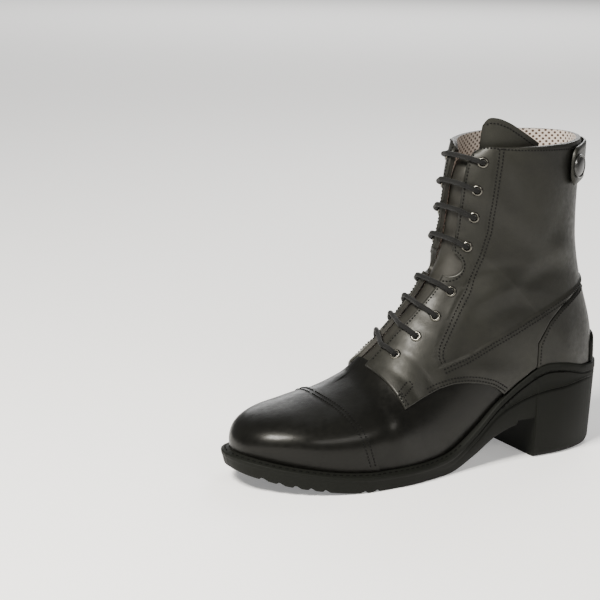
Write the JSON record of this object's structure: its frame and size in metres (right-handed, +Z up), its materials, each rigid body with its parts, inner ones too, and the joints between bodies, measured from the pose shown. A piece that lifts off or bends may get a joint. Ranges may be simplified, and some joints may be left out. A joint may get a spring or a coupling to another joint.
{
  "type": "paddock boot",
  "caption": "Ankle-high leather riding boot for the left foot, lace-up front, toe cap, zip down the back under a snap strap, moulded sole with a low heel",
  "frame": {"origin": "middle of the boot's length and width, on the floor under the sole", "axes": "+X toward the heel with the toe at -X, +Y toward the inner side of the foot, +Z up"},
  "size_m": [0.281, 0.1008, 0.23],
  "materials": {
    "black_leather": "smooth, semi-gloss",
    "sole_rubber": "matte",
    "lining_fabric": "matte mesh",
    "lace_cord": "matte",
    "zip_tape": "matte",
    "gunmetal": "dark plated",
    "black_snap": "gloss"
  },
  "bodies": {
    "boot": {"counter": "black_leather", "eyelet_inner_1": "gunmetal", "eyelet_inner_2": "gunmetal", "eyelet_inner_3": "gunmetal", "eyelet_inner_4": "gunmetal", "eyelet_inner_5": "gunmetal", "eyelet_inner_6": "gunmetal", "eyelet_inner_7": "gunmetal", "eyelet_inner_8": "gunmetal", "eyelet_outer_1": "gunmetal", "eyelet_outer_2": "gunmetal", "eyelet_outer_3": "gunmetal", "eyelet_outer_4": "gunmetal", "eyelet_outer_5": "gunmetal", "eyelet_outer_6": "gunmetal", "eyelet_outer_7": "gunmetal", "eyelet_outer_8": "gunmetal", "insole": "lining_fabric", "lace_bar_1": "lace_cord", "lace_bar_2": "lace_cord", "lace_bar_3": "lace_cord", "lace_bar_4": "lace_cord", "lace_bar_5": "lace_cord", "lace_bar_6": "lace_cord", "lace_bar_7": "lace_cord", "lace_bar_8": "lace_cord", "outsole": "sole_rubber", "quarter_inner": "black_leather", "quarter_outer": "black_leather", "snap_button": "black_snap", "spur_rest": "sole_rubber", "strap": "black_leather", "tongue": "black_leather", "upper": "black_leather", "zip_slider": "gunmetal", "zip_tape_inner": "zip_tape", "zip_tape_outer": "zip_tape", "zip_teeth": "gunmetal"},
    "zip_pull": {"zip_pull": "gunmetal"}
  },
  "joints": [
    {"name": "zip_pull", "type": "hinge", "parent": "boot", "child": "zip_pull", "pos_m": [0.1282, 0.01637, 0.2036], "axis": [0, 1, 0], "range_deg": [-4, 0]}
  ]
}
